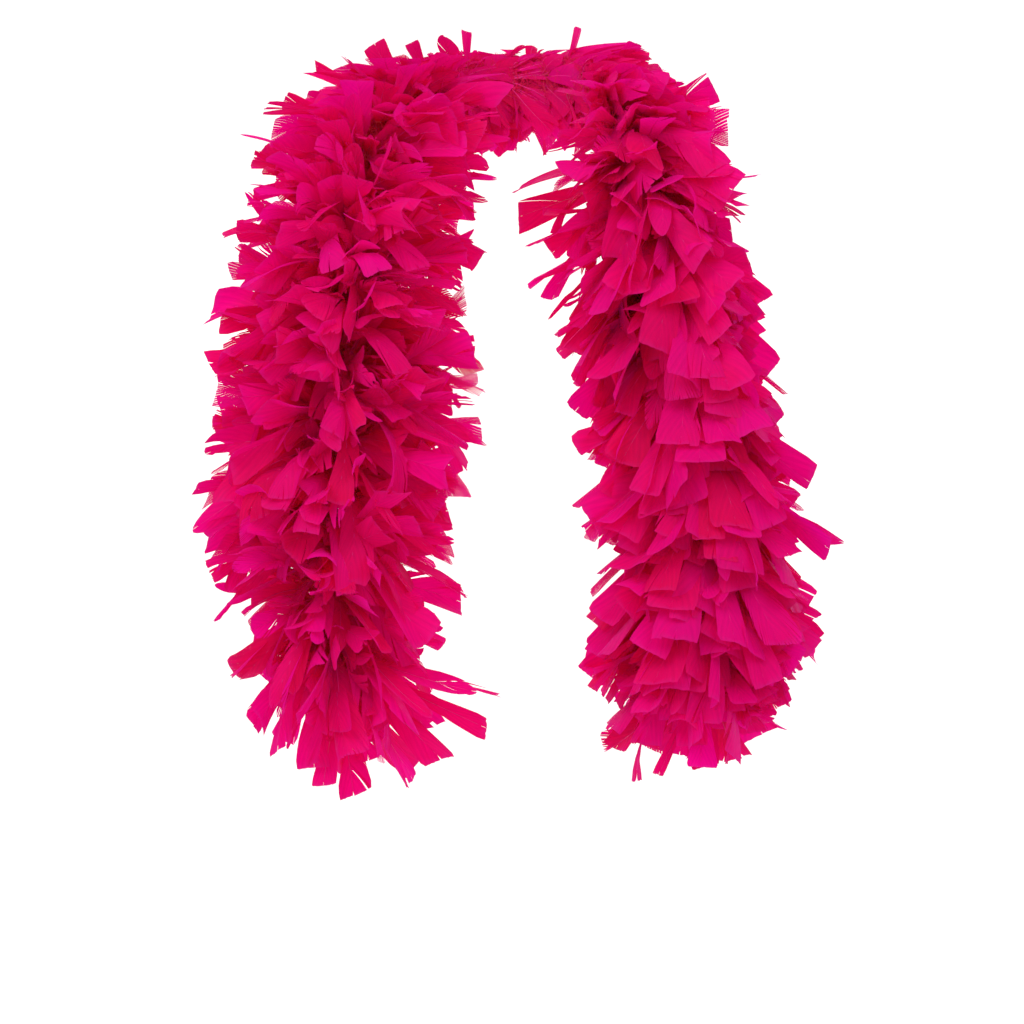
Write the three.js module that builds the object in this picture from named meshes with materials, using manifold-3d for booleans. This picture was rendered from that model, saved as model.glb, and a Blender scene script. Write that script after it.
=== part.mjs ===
// Feather boa, worn round the neck: a core cord, the stitching thread of the feather fringe wound round it,
// and ruffs of broad feathers, each ruff standing out from a collar of bound quills.
// Millimetres, +Z up, the wearer faces -Y. The origin is the middle of the cord, on the nape of the neck.
// "left" and "right" are the two hanging lengths as someone facing the wearer sees them.

import * as THREE from 'three';
import { mergeVertices } from 'three/addons/utils/BufferGeometryUtils.js';
import Module from 'manifold-3d';

const wasm = await Module();
wasm.setup();

// Cord and thread
const cordDiameter = 4;
const straightStep = 27;     // of the tubes' facets, where the cord hangs nearly straight
const bentStep = 12;         // and where it goes round the neck and the shoulders
const threadDiameter = 1.2;
const threadPitch = 108;
const windingGap = 1;        // between the cord and the thread wound round it
const collarGap = 0.5;       // between that thread and the bore of a collar

// Where each hanging length bends, as stretches of cord measured from the nape
const yokeStretch = 324;     // nape and shoulder, which lie on the wearer
const upperStretch = 216;
const middleStretch = 216;
const bendGap = 2.4;         // cord left clear on each side of a bend

// Ruffs
const yokeRuffs = 6;
const upperRuffs = 4;
const middleRuffs = 4;
const lowerRuffs = 3;
const collarLength = 12;
const collarWall = 3;
const bladesPerRuff = 8;
const bladeThickness = 2;
const bladeWidth = 28;         // at the blunt end
const bladeRootWidth = 4;
const shortestBlade = 12;
const fullWidthFrom = 90;    // a blade pressed shorter than this against the wearer is narrower too
const rootSink = 1.8;        // how far a blade runs into its collar's wall

// Ends
const endMargin = 20;        // cord past the middle of the last collar's place
const whippingLength = 7;
const whippingWall = 1.4;
const knotLength = 9;
const knotDiameter = 10;
const fitGap = 0.3;

// Feather reach, in millimetres from the cord, and lean in degrees from square to it, along the cord from the
// nape. Positive lean follows the stringing, which runs from the left end over the nape to the right end.
// outer is away from the body, inner is upwards at the nape and towards the chest's middle lower down,
// edge is the opposite way to inner, and body is towards the wearer.
const leftReach = [
  { at: 0, outer: 112, inner: 30, edge: 62, body: 17, lean: 16 },
  { at: 110, outer: 100, inner: 36, edge: 50, body: 18, lean: 14 },
  { at: 230, outer: 86, inner: 112, edge: 120, body: 28, lean: 10 },
  { at: 340, outer: 128, inner: 140, edge: 138, body: 60, lean: 16 },
  { at: 560, outer: 140, inner: 150, edge: 160, body: 74, lean: 14 },
  { at: 740, outer: 138, inner: 140, edge: 148, body: 72, lean: -8 },
  { at: 900, outer: 134, inner: 134, edge: 134, body: 100, lean: -66 },
];
const rightReach = [
  { at: 0, outer: 112, inner: 30, edge: 62, body: 17, lean: 16 },
  { at: 110, outer: 100, inner: 40, edge: 54, body: 18, lean: 22 },
  { at: 230, outer: 96, inner: 112, edge: 118, body: 28, lean: 26 },
  { at: 340, outer: 138, inner: 140, edge: 132, body: 64, lean: 30 },
  { at: 560, outer: 152, inner: 152, edge: 150, body: 82, lean: 30 },
  { at: 740, outer: 150, inner: 146, edge: 156, body: 82, lean: 30 },
  { at: 900, outer: 134, inner: 134, edge: 134, body: 100, lean: 66 },
];

// Which way the wearer's body lies from the cord, at the same distances
const leftBody = [
  { at: 0, x: 0, y: -1, z: 0.45 },
  { at: 110, x: 0.95, y: -0.25, z: -0.05 },
  { at: 230, x: 0.35, y: 0.35, z: -0.85 },
  { at: 340, x: 0, y: 1, z: 0 },
];
const rightBody = leftBody.map((place) => ({ ...place, x: -place.x }));

// The cord's route from the nape to each end
const leftRoute = [
  [-45, -9, 2],
  [-86, -46, -12],
  [-128, -93, -42],
  [-164, -134, -82],
  [-186, -160, -135],
  [-196, -170, -205],
  [-203, -173, -300],
  [-209, -173, -400],
  [-216, -172, -500],
  [-220, -171, -600],
  [-216, -170, -690],
  [-206, -169, -762],
];
const rightRoute = [
  [47, -9, 2],
  [86, -46, -16],
  [115, -88, -52],
  [141, -128, -104],
  [161, -154, -168],
  [178, -168, -240],
  [194, -173, -322],
  [205, -173, -400],
  [214, -172, -480],
  [220, -171, -560],
  [221, -170, -640],
  [214, -169, -757],
];

const featherMaterial = new THREE.MeshStandardMaterial({ color: 0xe0106e, roughness: 0.62, metalness: 0 });
const cordMaterial = new THREE.MeshStandardMaterial({ color: 0xc41462, roughness: 0.9, metalness: 0 });
const threadMaterial = new THREE.MeshStandardMaterial({ color: 0xd61a70, roughness: 0.7, metalness: 0 });

// The cord as one smooth line, with places on it given by their distance from the nape: below 0 on the left
const nape = new THREE.Vector3(0, 0, 0);
const asVectors = (route) => route.map((point) => new THREE.Vector3(...point));
const leftPoints = asVectors(leftRoute).reverse();
const cordLine = new THREE.CatmullRomCurve3([...leftPoints, nape, ...asVectors(rightRoute)], false, 'centripetal');
const finePoints = 3000;
cordLine.arcLengthDivisions = finePoints;
const lengthToPoint = cordLine.getLengths(finePoints);
const napeShare = leftPoints.length / (leftPoints.length + rightRoute.length);
const napeAt = lengthToPoint[Math.round(napeShare * finePoints)];
const cordLength = cordLine.getLength();
const ends = { left: napeAt, right: cordLength - napeAt };

function placeOnCord(distance) {
  return cordLine.getPointAt(THREE.MathUtils.clamp((napeAt + distance) / cordLength, 0, 1));
}

function directionOfCord(distance) {
  return cordLine.getTangentAt(THREE.MathUtils.clamp((napeAt + distance) / cordLength, 0, 1));
}

// Values between the two nearest rows of a list that is ordered by at
function readAlong(rows, at) {
  const next = rows.findIndex((row) => row.at >= at);
  if (next === 0) return rows[0];
  if (next < 0) return rows[rows.length - 1];
  const [low, high] = [rows[next - 1], rows[next]];
  const share = (at - low.at) / (high.at - low.at);
  return Object.fromEntries(
    Object.keys(low).map((key) => [key, THREE.MathUtils.lerp(low[key], high[key], share)]),
  );
}

// Axes at a place on the cord: along the stringing, out from the wearer, and inner, square to both
function axesOnCord(distance) {
  const along = directionOfCord(distance);
  const body = readAlong(distance < 0 ? leftBody : rightBody, Math.abs(distance));
  const outer = new THREE.Vector3(-body.x, -body.y, -body.z);
  outer.addScaledVector(along, -outer.dot(along)).normalize();
  const inner = new THREE.Vector3().crossVectors(along, outer).normalize();
  return { along, outer, inner };
}

const cordRadius = cordDiameter / 2;
const windingRadius = cordRadius + windingGap + threadDiameter / 2;
const boreRadius = windingRadius + threadDiameter / 2 + collarGap;
const collarRadius = boreRadius + collarWall;

class CordStretch extends THREE.Curve {
  constructor(from, to) {
    super();
    this.from = from;
    this.to = to;
  }

  getPoint(share, target = new THREE.Vector3()) {
    return target.copy(placeOnCord(THREE.MathUtils.lerp(this.from, this.to, share)));
  }
}

// The thread's line: a helix on the cord
class ThreadStretch extends CordStretch {
  getPoint(share, target = new THREE.Vector3()) {
    const distance = THREE.MathUtils.lerp(this.from, this.to, share);
    const { outer, inner } = axesOnCord(distance);
    const turn = (distance / threadPitch) * Math.PI * 2;
    return target
      .copy(placeOnCord(distance))
      .addScaledVector(outer, windingRadius * Math.cos(turn))
      .addScaledVector(inner, windingRadius * Math.sin(turn));
  }
}

function tubeAlong(curve, radius, sides, stepLength) {
  const section = new THREE.Shape();
  for (let side = 0; side < sides; side += 1) {
    const turn = (side / sides) * Math.PI * 2;
    section[side ? 'lineTo' : 'moveTo'](radius * Math.cos(turn), radius * Math.sin(turn));
  }
  section.closePath();
  const steps = Math.max(2, Math.ceil(Math.abs(curve.to - curve.from) / stepLength));
  return new THREE.ExtrudeGeometry(section, { steps, extrudePath: curve, bevelEnabled: false });
}

function asSolid(geometry) {
  const bare = geometry.clone();
  bare.deleteAttribute('normal');
  bare.deleteAttribute('uv');
  const merged = mergeVertices(bare, 1e-4);
  return new wasm.Manifold(new wasm.Mesh({
    numProp: 3,
    vertProperties: new Float32Array(merged.attributes.position.array),
    triVerts: new Uint32Array(merged.index.array),
  }));
}

function asGeometry(solid) {
  const mesh = solid.getMesh();
  const geometry = new THREE.BufferGeometry();
  geometry.setAttribute('position', new THREE.BufferAttribute(new Float32Array(mesh.vertProperties), 3));
  geometry.setIndex(new THREE.BufferAttribute(new Uint32Array(mesh.triVerts), 1));
  geometry.computeVertexNormals();
  return geometry;
}

// A ring round the local Z axis, with a rectangular section
function ring(inside, outside, length, sides) {
  const half = length / 2;
  const profile = [[inside, -half], [outside, -half], [outside, half], [inside, half], [inside, -half]];
  return new THREE.LatheGeometry(profile.map(([x, y]) => new THREE.Vector2(x, y)), sides)
    .rotateX(Math.PI / 2);
}

// One flat feather blade, from its root at the local origin along Y to its square end, its face towards Z
function blade(length) {
  const spread = Math.min(1, length / fullWidthFrom);
  const endWidth = THREE.MathUtils.lerp(bladeRootWidth, bladeWidth, spread);
  const outline = new THREE.Shape();
  outline.moveTo(-bladeRootWidth / 2, 0);
  outline.lineTo(bladeRootWidth / 2, 0);
  outline.lineTo(endWidth / 2, length);
  outline.lineTo(-endWidth / 2, length);
  outline.closePath();
  return new THREE.ExtrudeGeometry(outline, { depth: bladeThickness, bevelEnabled: false })
    .translate(0, 0, -bladeThickness / 2);
}

// How far the feathers reach in one direction round the cord
function reachTowards(reach, turn) {
  const [out, side] = [Math.cos(turn), Math.sin(turn)];
  const front = out > 0 ? reach.outer : reach.body;
  const flank = side > 0 ? reach.inner : reach.edge;
  return out * out * front + side * side * flank;
}

// A collar of bound quills with its feathers, in the cord's axes at its middle: X outer, Y inner, Z along
function ruffGeometry(reach, stagger) {
  const bladeTurn = (Math.PI * 2) / bladesPerRuff;
  const collar = ring(boreRadius, collarRadius, collarLength, bladesPerRuff);
  collar.rotateZ((stagger + 0.5) * bladeTurn);
  let solid = asSolid(collar);
  const lean = THREE.MathUtils.degToRad(reach.lean);
  const rootAt = collarRadius * Math.cos(bladeTurn / 2) - rootSink;
  for (let number = 0; number < bladesPerRuff; number += 1) {
    const turn = (number + stagger) * bladeTurn;
    const length = reachTowards(reach, turn) / Math.cos(lean * 0.5) - rootAt;
    const feather = blade(Math.max(length, shortestBlade));
    feather.rotateX(lean);
    feather.translate(0, rootAt, 0);
    feather.rotateZ(turn - Math.PI / 2);
    solid = solid.add(asSolid(feather));
  }
  return asGeometry(solid);
}

const boa = new THREE.Group();

function addPiece(name, geometry, material, distance) {
  const piece = new THREE.Mesh(geometry, material);
  piece.name = name;
  if (distance !== undefined) {
    const { along, outer, inner } = axesOnCord(distance);
    piece.quaternion.setFromRotationMatrix(new THREE.Matrix4().makeBasis(outer, inner, along));
    piece.position.copy(placeOnCord(distance));
  }
  boa.add(piece);
}

function addCordAndThread(name, from, to, step) {
  const cord = tubeAlong(new CordStretch(from, to), cordRadius, 8, step);
  addPiece(`${name}_core_cord`, cord, cordMaterial);
  const thread = tubeAlong(new ThreadStretch(from, to), threadDiameter / 2, 5, Math.min(step, threadPitch / 8));
  addPiece(`${name}_stitching_thread`, thread, threadMaterial);
}

function addSide(side) {
  const sign = side === 'left' ? -1 : 1;
  const reachRows = side === 'left' ? leftReach : rightReach;
  const lowerStretch = ends[side] - endMargin - yokeStretch - upperStretch - middleStretch;
  const stretches = [
    { part: 'yoke', length: yokeStretch, ruffs: yokeRuffs },
    { part: 'upper', length: upperStretch, ruffs: upperRuffs },
    { part: 'middle', length: middleStretch, ruffs: middleRuffs },
    { part: 'lower', length: lowerStretch, ruffs: lowerRuffs },
  ];
  let start = 0;
  let counted = 0;
  for (const { part, length, ruffs } of stretches) {
    for (let number = 0; number < ruffs; number += 1) {
      const distance = start + ((number + 0.5) / ruffs) * length;
      const stagger = counted % 2 ? 0.5 : 0;
      const reach = readAlong(reachRows, distance);
      addPiece(`${side}_${part}_ruff_${number + 1}`, ruffGeometry(reach, stagger), featherMaterial, sign * distance);
      counted += 1;
    }
    start += length;
    if (part === 'yoke') continue;
    const from = start - length + bendGap;
    const to = part === 'lower' ? start - fitGap : start - bendGap;
    addCordAndThread(`${side}_${part}`, sign * from, sign * to, straightStep);
  }
  // The whipping is wound over the cord's end, and the knot is tied in the cord itself past it
  const whippingAt = start + whippingLength / 2;
  const whipping = ring(cordRadius + fitGap, cordRadius + fitGap + whippingWall, whippingLength, 10);
  addPiece(`${side}_end_whipping`, whipping, threadMaterial, sign * whippingAt);
  const knotRadius = knotDiameter / 2;
  const knot = new THREE.SphereGeometry(knotRadius, 10, 6);
  knot.rotateX(Math.PI / 2);
  knot.scale(1, 1, knotLength / knotDiameter);
  addPiece(`${side}_end_knot`, knot, cordMaterial, sign * (start + whippingLength + fitGap + knotLength / 2));
}

addSide('left');
addSide('right');
addCordAndThread('yoke', -(yokeStretch - bendGap), yokeStretch - bendGap, bentStep);

export default boa;
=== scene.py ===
"""A hot-pink feather boa, hung as it is worn: round the nape, over the shoulders, both ends down the front.

Laid out as an add-on and run as a script. Everything is in metres: +Z is up, the wearer faces -Y, and the
origin is the middle of the core cord, on the nape. Left and right are as seen from the front.
"""

import math

import bpy
import numpy as np
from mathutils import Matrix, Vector


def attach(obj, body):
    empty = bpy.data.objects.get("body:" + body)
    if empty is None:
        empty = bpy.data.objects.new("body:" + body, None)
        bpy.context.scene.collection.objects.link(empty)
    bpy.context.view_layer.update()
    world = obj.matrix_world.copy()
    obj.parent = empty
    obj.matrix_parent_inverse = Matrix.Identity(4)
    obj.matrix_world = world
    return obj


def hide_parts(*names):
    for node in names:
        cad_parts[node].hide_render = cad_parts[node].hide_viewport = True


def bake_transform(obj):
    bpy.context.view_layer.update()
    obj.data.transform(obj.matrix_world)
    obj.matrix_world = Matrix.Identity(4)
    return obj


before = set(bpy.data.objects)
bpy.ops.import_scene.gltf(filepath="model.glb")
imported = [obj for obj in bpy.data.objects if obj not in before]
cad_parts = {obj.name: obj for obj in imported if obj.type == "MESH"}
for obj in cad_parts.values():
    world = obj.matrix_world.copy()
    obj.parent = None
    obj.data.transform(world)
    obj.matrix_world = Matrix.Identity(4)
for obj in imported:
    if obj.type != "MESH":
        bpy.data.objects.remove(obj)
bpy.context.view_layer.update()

bl_info = {
    "name": "Feather Boa",
    "version": (1, 0, 0),
    "blender": (4, 5, 0),
    "location": "3D View > Sidebar > Boa",
    "description": "Builds a feather boa from its cord, stitching thread, whippings, knots and feather ruffs",
    "category": "Object",
}

# The cord's route from the nape to each end.
LEFT_ROUTE = [
    (-0.045, -0.009, 0.002),
    (-0.086, -0.046, -0.012),
    (-0.128, -0.093, -0.042),
    (-0.164, -0.134, -0.082),
    (-0.186, -0.160, -0.135),
    (-0.196, -0.170, -0.205),
    (-0.203, -0.173, -0.300),
    (-0.209, -0.173, -0.400),
    (-0.216, -0.172, -0.500),
    (-0.220, -0.171, -0.600),
    (-0.216, -0.170, -0.690),
    (-0.206, -0.169, -0.762),
]
RIGHT_ROUTE = [
    (0.047, -0.009, 0.002),
    (0.086, -0.046, -0.016),
    (0.115, -0.088, -0.052),
    (0.141, -0.128, -0.104),
    (0.161, -0.154, -0.168),
    (0.178, -0.168, -0.240),
    (0.194, -0.173, -0.322),
    (0.205, -0.173, -0.400),
    (0.214, -0.172, -0.480),
    (0.220, -0.171, -0.560),
    (0.221, -0.170, -0.640),
    (0.214, -0.169, -0.757),
]
YOKE_STRETCH = 0.324     # from the nape to each side's first bend
UPPER_STRETCH = 0.216    # from there to the second
MIDDLE_STRETCH = 0.216   # and to the third
END_MARGIN = 0.020       # of cord past the last feathers, for the whipping and the knot
CORD_DIAMETER = 0.004
CORD_LAY = 0.012         # one turn of the cord's plies
PLY_RADIUS = 0.27        # of each of its three plies, as a share of its diameter
PLY_OFFSET = 0.23        # of each ply from its middle, likewise
THREAD_DIAMETER = 0.0012
THREAD_PITCH = 0.010     # one turn of the thread round the cord
WOUND_RADIUS = CORD_DIAMETER / 2 + THREAD_DIAMETER / 2    # from the cord's middle to the thread's
WHIPPING_PITCH = THREAD_DIAMETER * 0.95                   # its turns are pulled tight together
WINDING_GAP = 0.001      # between the thread and the quills' feet
WHIPPING_LENGTH = 0.007
KNOT_LENGTH = 0.009
KNOT_SCALE = (0.0012, 0.0012, 0.0016)    # of the trefoil that the knot follows, across the cord and along it
KNOT_TIGHTNESS = 0.36    # the radius of the cord in the knot, as a share of its diameter
CORD_STEP = 0.0015       # the chords that the cord, its route, the thread and the whipping are drawn with
THREAD_STEP = 0.001
WHIPPING_STEP = 0.00012
RUFFS = {"yoke": 6, "upper": 4, "middle": 4, "lower": 3}
SIDES = (("left", -1), ("right", 1))     # each side's name, and the sign of places on it


def linear(hex_colour):
    """An sRGB hex colour as linear red, green and blue."""
    channels = [int(hex_colour[i : i + 2], 16) / 255 for i in (1, 3, 5)]
    return [c / 12.92 if c <= 0.04045 else ((c + 0.055) / 1.055) ** 2.4 for c in channels]


# The way the feathers lie, by distance along the cord: below 0 is the left side. Lengths are in metres, and
# angles, apart from roll, in degrees.
#   outer, inner, edge  how far they stand from the cord: away from the wearer, upwards at the nape and to the
#                       chest's middle lower down, and the other way
#   lean, bow           their angle from square to the cord, towards its right end, and how much further that
#                       way they bend by their tips
#   spread              how far they fan out to the inner and edge sides, as a share
#   press, crown        how deep the ruff is on the wearer's side, and how high it stands over the cord
#   stray, roll         how far single feathers depart from the lean, and from lying flat, in radians
#   width               how wide their vanes are, as a share of the mean
LIE_COLUMNS = (
    "at", "outer", "inner", "edge", "lean", "bow", "spread", "press", "crown", "stray", "roll", "width",
)
LIE_ROWS = (
    (-0.915, 0.070, 0.068, 0.054, -48,  -8, 1.00, 0.080, 0.200, 23, 0.80, 0.64),
    (-0.860, 0.100, 0.134, 0.092, -30, -14, 1.00, 0.078, 0.200, 23, 0.80, 0.70),
    (-0.780, 0.132, 0.148, 0.132, -10, -16, 1.00, 0.078, 0.200, 22, 0.80, 0.78),
    (-0.670, 0.140, 0.156, 0.160,   8, -20, 1.00, 0.078, 0.200, 23, 0.90, 0.78),
    (-0.560, 0.142, 0.168, 0.142,  14, -20, 1.00, 0.078, 0.200, 23, 0.90, 0.78),
    (-0.430, 0.138, 0.136, 0.138,  16, -18, 1.00, 0.070, 0.140, 23, 0.90, 0.78),
    (-0.340, 0.132, 0.152, 0.116,  16, -18, 1.00, 0.066, 0.100, 22, 0.85, 0.78),
    (-0.230, 0.118, 0.132, 0.126,  12, -14, 0.90, 0.040, 0.062, 20, 0.70, 0.86),
    (-0.170, 0.112, 0.110, 0.134,  12, -12, 0.85, 0.036, 0.042, 18, 0.65, 0.88),
    (-0.110, 0.094, 0.094, 0.090,  14,  -8, 0.80, 0.032, 0.034, 16, 0.60, 0.90),
    ( 0.000, 0.112, 0.080, 0.060,  16,   0, 0.65, 0.034, 0.046, 14, 0.50, 0.90),
    ( 0.110, 0.070, 0.098, 0.068,  20,   6, 0.80, 0.032, 0.024, 18, 0.65, 0.86),
    ( 0.170, 0.086, 0.126, 0.078,  22,   8, 0.85, 0.036, 0.022, 17, 0.60, 0.88),
    ( 0.230, 0.108, 0.162, 0.086,  22,  12, 0.90, 0.040, 0.034, 14, 0.50, 0.96),
    ( 0.310, 0.124, 0.166, 0.074,  24,  20, 1.00, 0.060, 0.062, 10, 0.46, 0.94),
    ( 0.420, 0.134, 0.130, 0.058,  24,  26, 1.00, 0.072, 0.140,  9, 0.46, 0.94),
    ( 0.500, 0.140, 0.116, 0.076,  26,  26, 1.00, 0.076, 0.200,  9, 0.46, 0.94),
    ( 0.600, 0.146, 0.134, 0.096,  26,  26, 1.00, 0.080, 0.200,  9, 0.46, 0.94),
    ( 0.740, 0.144, 0.136, 0.110,  28,  22, 1.00, 0.080, 0.200,  9, 0.46, 0.94),
    ( 0.830, 0.106, 0.122, 0.088,  26,  14, 1.00, 0.080, 0.200, 12, 0.50, 0.92),
    ( 0.895, 0.054, 0.058, 0.056,  24,   6, 1.00, 0.082, 0.200, 14, 0.50, 0.86),
)
LIE = [dict(zip(LIE_COLUMNS, row)) for row in LIE_ROWS]
# Feathers that stand clear of the ruffs: where each grows from the cord, its vane width, and its tip.
STRAYS = (
    (-0.872, 0.030, (-0.028, -0.20, -0.742)),
    (-0.880, 0.026, (-0.040, -0.22, -0.786)),
    (-0.868, 0.034, (-0.052, -0.25, -0.750)),
    (-0.916, 0.020, (-0.104, -0.19, -0.842)),
    (-0.914, 0.042, (-0.190, -0.21, -0.862)),
    (-0.912, 0.032, (-0.222, -0.24, -0.846)),
    (-0.900, 0.034, (-0.120, -0.22, -0.838)),
    (-0.904, 0.036, (-0.146, -0.20, -0.830)),
    (-0.660, 0.022, (-0.372, -0.20, -0.508)),
    (-0.610, 0.034, (-0.370, -0.22, -0.560)),
    (-0.510, 0.024, (-0.352, -0.23, -0.366)),
    (-0.290, 0.038, (-0.030, -0.17, -0.150)),
    (-0.300, 0.040, (-0.040, -0.20, -0.176)),
    (-0.215, 0.026, (-0.296, -0.16, -0.056)),
    (-0.200, 0.018, (-0.240, -0.13, -0.008)),
    (-0.190, 0.022, (-0.206, -0.13, 0.000)),
    (-0.170, 0.042, (-0.176, -0.12, 0.016)),
    (-0.130, 0.026, (-0.130, -0.10, 0.024)),
    (-0.090, 0.034, (-0.090, -0.08, 0.040)),
    (-0.070, 0.018, (-0.064, -0.06, 0.048)),
    ( 0.060, 0.030, (0.078, -0.03, 0.058)),
    ( 0.110, 0.026, (0.140, -0.08, 0.030)),
    ( 0.200, 0.040, (0.226, -0.14, -0.030)),
    ( 0.300, 0.036, (0.274, -0.19, -0.140)),
    ( 0.270, 0.046, (0.004, -0.17, -0.190)),
    ( 0.290, 0.048, (0.018, -0.20, -0.226)),
    ( 0.640, 0.052, (0.354, -0.23, -0.592)),
    ( 0.610, 0.046, (0.350, -0.24, -0.578)),
    ( 0.886, 0.036, (0.206, -0.25, -0.826)),
    ( 0.884, 0.014, (0.162, -0.23, -0.836)),
)
# Which way the wearer's body lies from the cord, by distance along it.
BODY = [
    {"at": at, "x": x, "y": y, "z": z}
    for at, x, y, z in (
        (-0.340, 0.0, 1.0, 0.0),
        (-0.230, 0.35, 0.35, -0.85),
        (-0.110, 0.95, -0.25, -0.05),
        (0.0, 0.0, -1.0, 0.45),
        (0.110, -0.95, -0.25, -0.05),
        (0.230, -0.35, 0.35, -0.85),
        (0.340, 0.0, 1.0, 0.0),
    )
]
NECK_AXIS = (0.0, -0.088)
NECK_RADIUS = 0.054
NECK_SOFTNESS = 0.02     # the depth of the feathers that the neck presses together
SHOULDERS_Z = -0.16      # the neck presses only above this
FRONT_DEPTH = 0.158      # no feather but the strays stands further than this in front of the cord
HANGING_AT = 0.5         # a place on the cord where it hangs straight
SENSOR_WIDTH = 36.0      # of the camera, in millimetres
VIEW_GAMMA = 1.1         # deepens the dye a little
LONGEST_FEATHER = 0.170
BROAD_LENGTH = 0.14      # a feather this long has a vane of the mean width
FULL_SHARE = 0.36        # of the feathers reach the ruff's full depth
PRESSED_LEAN = 78        # degrees, of feathers caught between the cord and the wearer
RAGGEDEST = 23           # the stray, in degrees, of the most ragged ruffs
STRAY_ROLL = 0.6         # the roll of feathers that stand clear, in radians
STRAY_CURL = 0.4         # and how much they curl
BEND_REACH = 0.12        # a ruff whose middle is nearer to a bend than this is fixed where it is made, on no section


def length_setting(name, description, metres):
    """A length that a user would change."""
    return bpy.props.FloatProperty(name=name, description=description, default=metres, unit="LENGTH")


def colour_setting(name, description, hex_colour):
    """A colour that a user would change."""
    return bpy.props.FloatVectorProperty(
        name=name, description=description, subtype="COLOR", default=linear(hex_colour),
    )


class BoaFeathers(bpy.types.PropertyGroup):
    """Sizes of the feathers and how many there are."""

    per_ruff: bpy.props.IntProperty(
        name="Feathers per ruff", description="Feathers in one ruff", default=94, min=8,
    )
    vane_width: length_setting("Vane width", "Mean width at the blunt end", 0.049)
    pitch: length_setting("Winding pitch", "Cord that one turn of the fringe covers", 0.042)
    quill: length_setting("Quill thickness", "Thickness of the quill at its foot", 0.0022)
    untidiness: bpy.props.FloatProperty(
        name="Untidiness", description="How far single feathers stray, as a share", default=1.0,
        subtype="FACTOR",
    )
    seed: bpy.props.IntProperty(name="Seed", description="Fixes every random choice", default=7)


class BoaDye(bpy.types.PropertyGroup):
    """Colours of the dyed feathers, cord and thread, and of the backlight painted on the barb tips."""

    vane: colour_setting("Vane", "Dyed vane, well covered", "#FD0092")
    deep: colour_setting("Deep vane", "Vane that took up more dye", "#F2005E")
    # The thin edge colour is painted backlight: a paler violet pink standing in for light that comes through
    # the barb tips.
    backlit_tips: colour_setting("Thin edge", "Thin barb ends, which take less dye", "#DC2492")
    sheen: colour_setting("Sheen", "Light off the fine barb edges", "#F42EDD")
    rachis: colour_setting("Rachis", "Dyed horn of the rachis", "#E6207C")
    down: colour_setting("Down", "Dyed down at the foot of the vane", "#E00450")
    cord: colour_setting("Cord", "Dyed cotton cord", "#B80F5C")
    thread: colour_setting("Thread", "Dyed sewing thread", "#CC1668")


class BoaStage(bpy.types.PropertyGroup):
    """Where the camera stands and the studio paper lies."""

    camera_distance: length_setting("Camera distance", "From the hanging lengths", 2.6)
    camera_height: length_setting("Camera height", "Height from the nape", -0.535)
    camera_side: length_setting("Camera side", "To the right of the nape", -0.008)
    view_width: length_setting("Width in view", "At the hanging lengths", 1.198)
    floor_drop: length_setting("Floor", "How far the floor is below the nape", 1.45)
    paper: colour_setting("Paper", "Colour of the studio paper", "#F7F6F4")


def add_node(tree, kind, settings=None, inputs=None, links=None):
    """Adds a shader node of a kind to a tree, with its settings, input values and incoming links."""
    node = tree.nodes.new(f"ShaderNode{kind}")
    for name, value in (settings or {}).items():
        setattr(node, name, value)
    for name, value in (inputs or {}).items():
        node.inputs[name].default_value = value
    for name, socket in (links or {}).items():
        tree.links.new(socket, node.inputs[name])
    return node


def new_material(name):
    """A material with an empty node tree and an output."""
    material = bpy.data.materials.new(name)
    material.use_nodes = True
    material.node_tree.nodes.clear()
    return material, material.node_tree, add_node(material.node_tree, "OutputMaterial")


def rgba(colour):
    return (*colour, 1.0)


def toned(tree, low, high):
    """A colour between two, by each feather's tone."""
    tone = add_node(tree, "Attribute", {"attribute_name": "tone"})
    return add_node(
        tree, "Mix", {"data_type": "RGBA"},
        {"A": rgba(low), "B": rgba(high)}, {"Factor": tone.outputs["Fac"]},
    )


def finish_material(material, output, inputs, links=None, through=0.0):
    """Gives a material its surface. through is the share of light that shows through from behind."""
    tree = material.node_tree
    surface = add_node(tree, "BsdfPrincipled", inputs=inputs, links=links)
    socket = surface.outputs["BSDF"]
    if through:
        behind = {name.replace("Base ", ""): value for name, value in links.items()}
        glow = add_node(tree, "BsdfTranslucent", links=behind)
        mixed = add_node(
            tree, "MixShader", inputs={0: through}, links={1: socket, 2: glow.outputs["BSDF"]},
        )
        socket = mixed.outputs["Shader"]
    tree.links.new(socket, output.inputs["Surface"])
    return material


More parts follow.
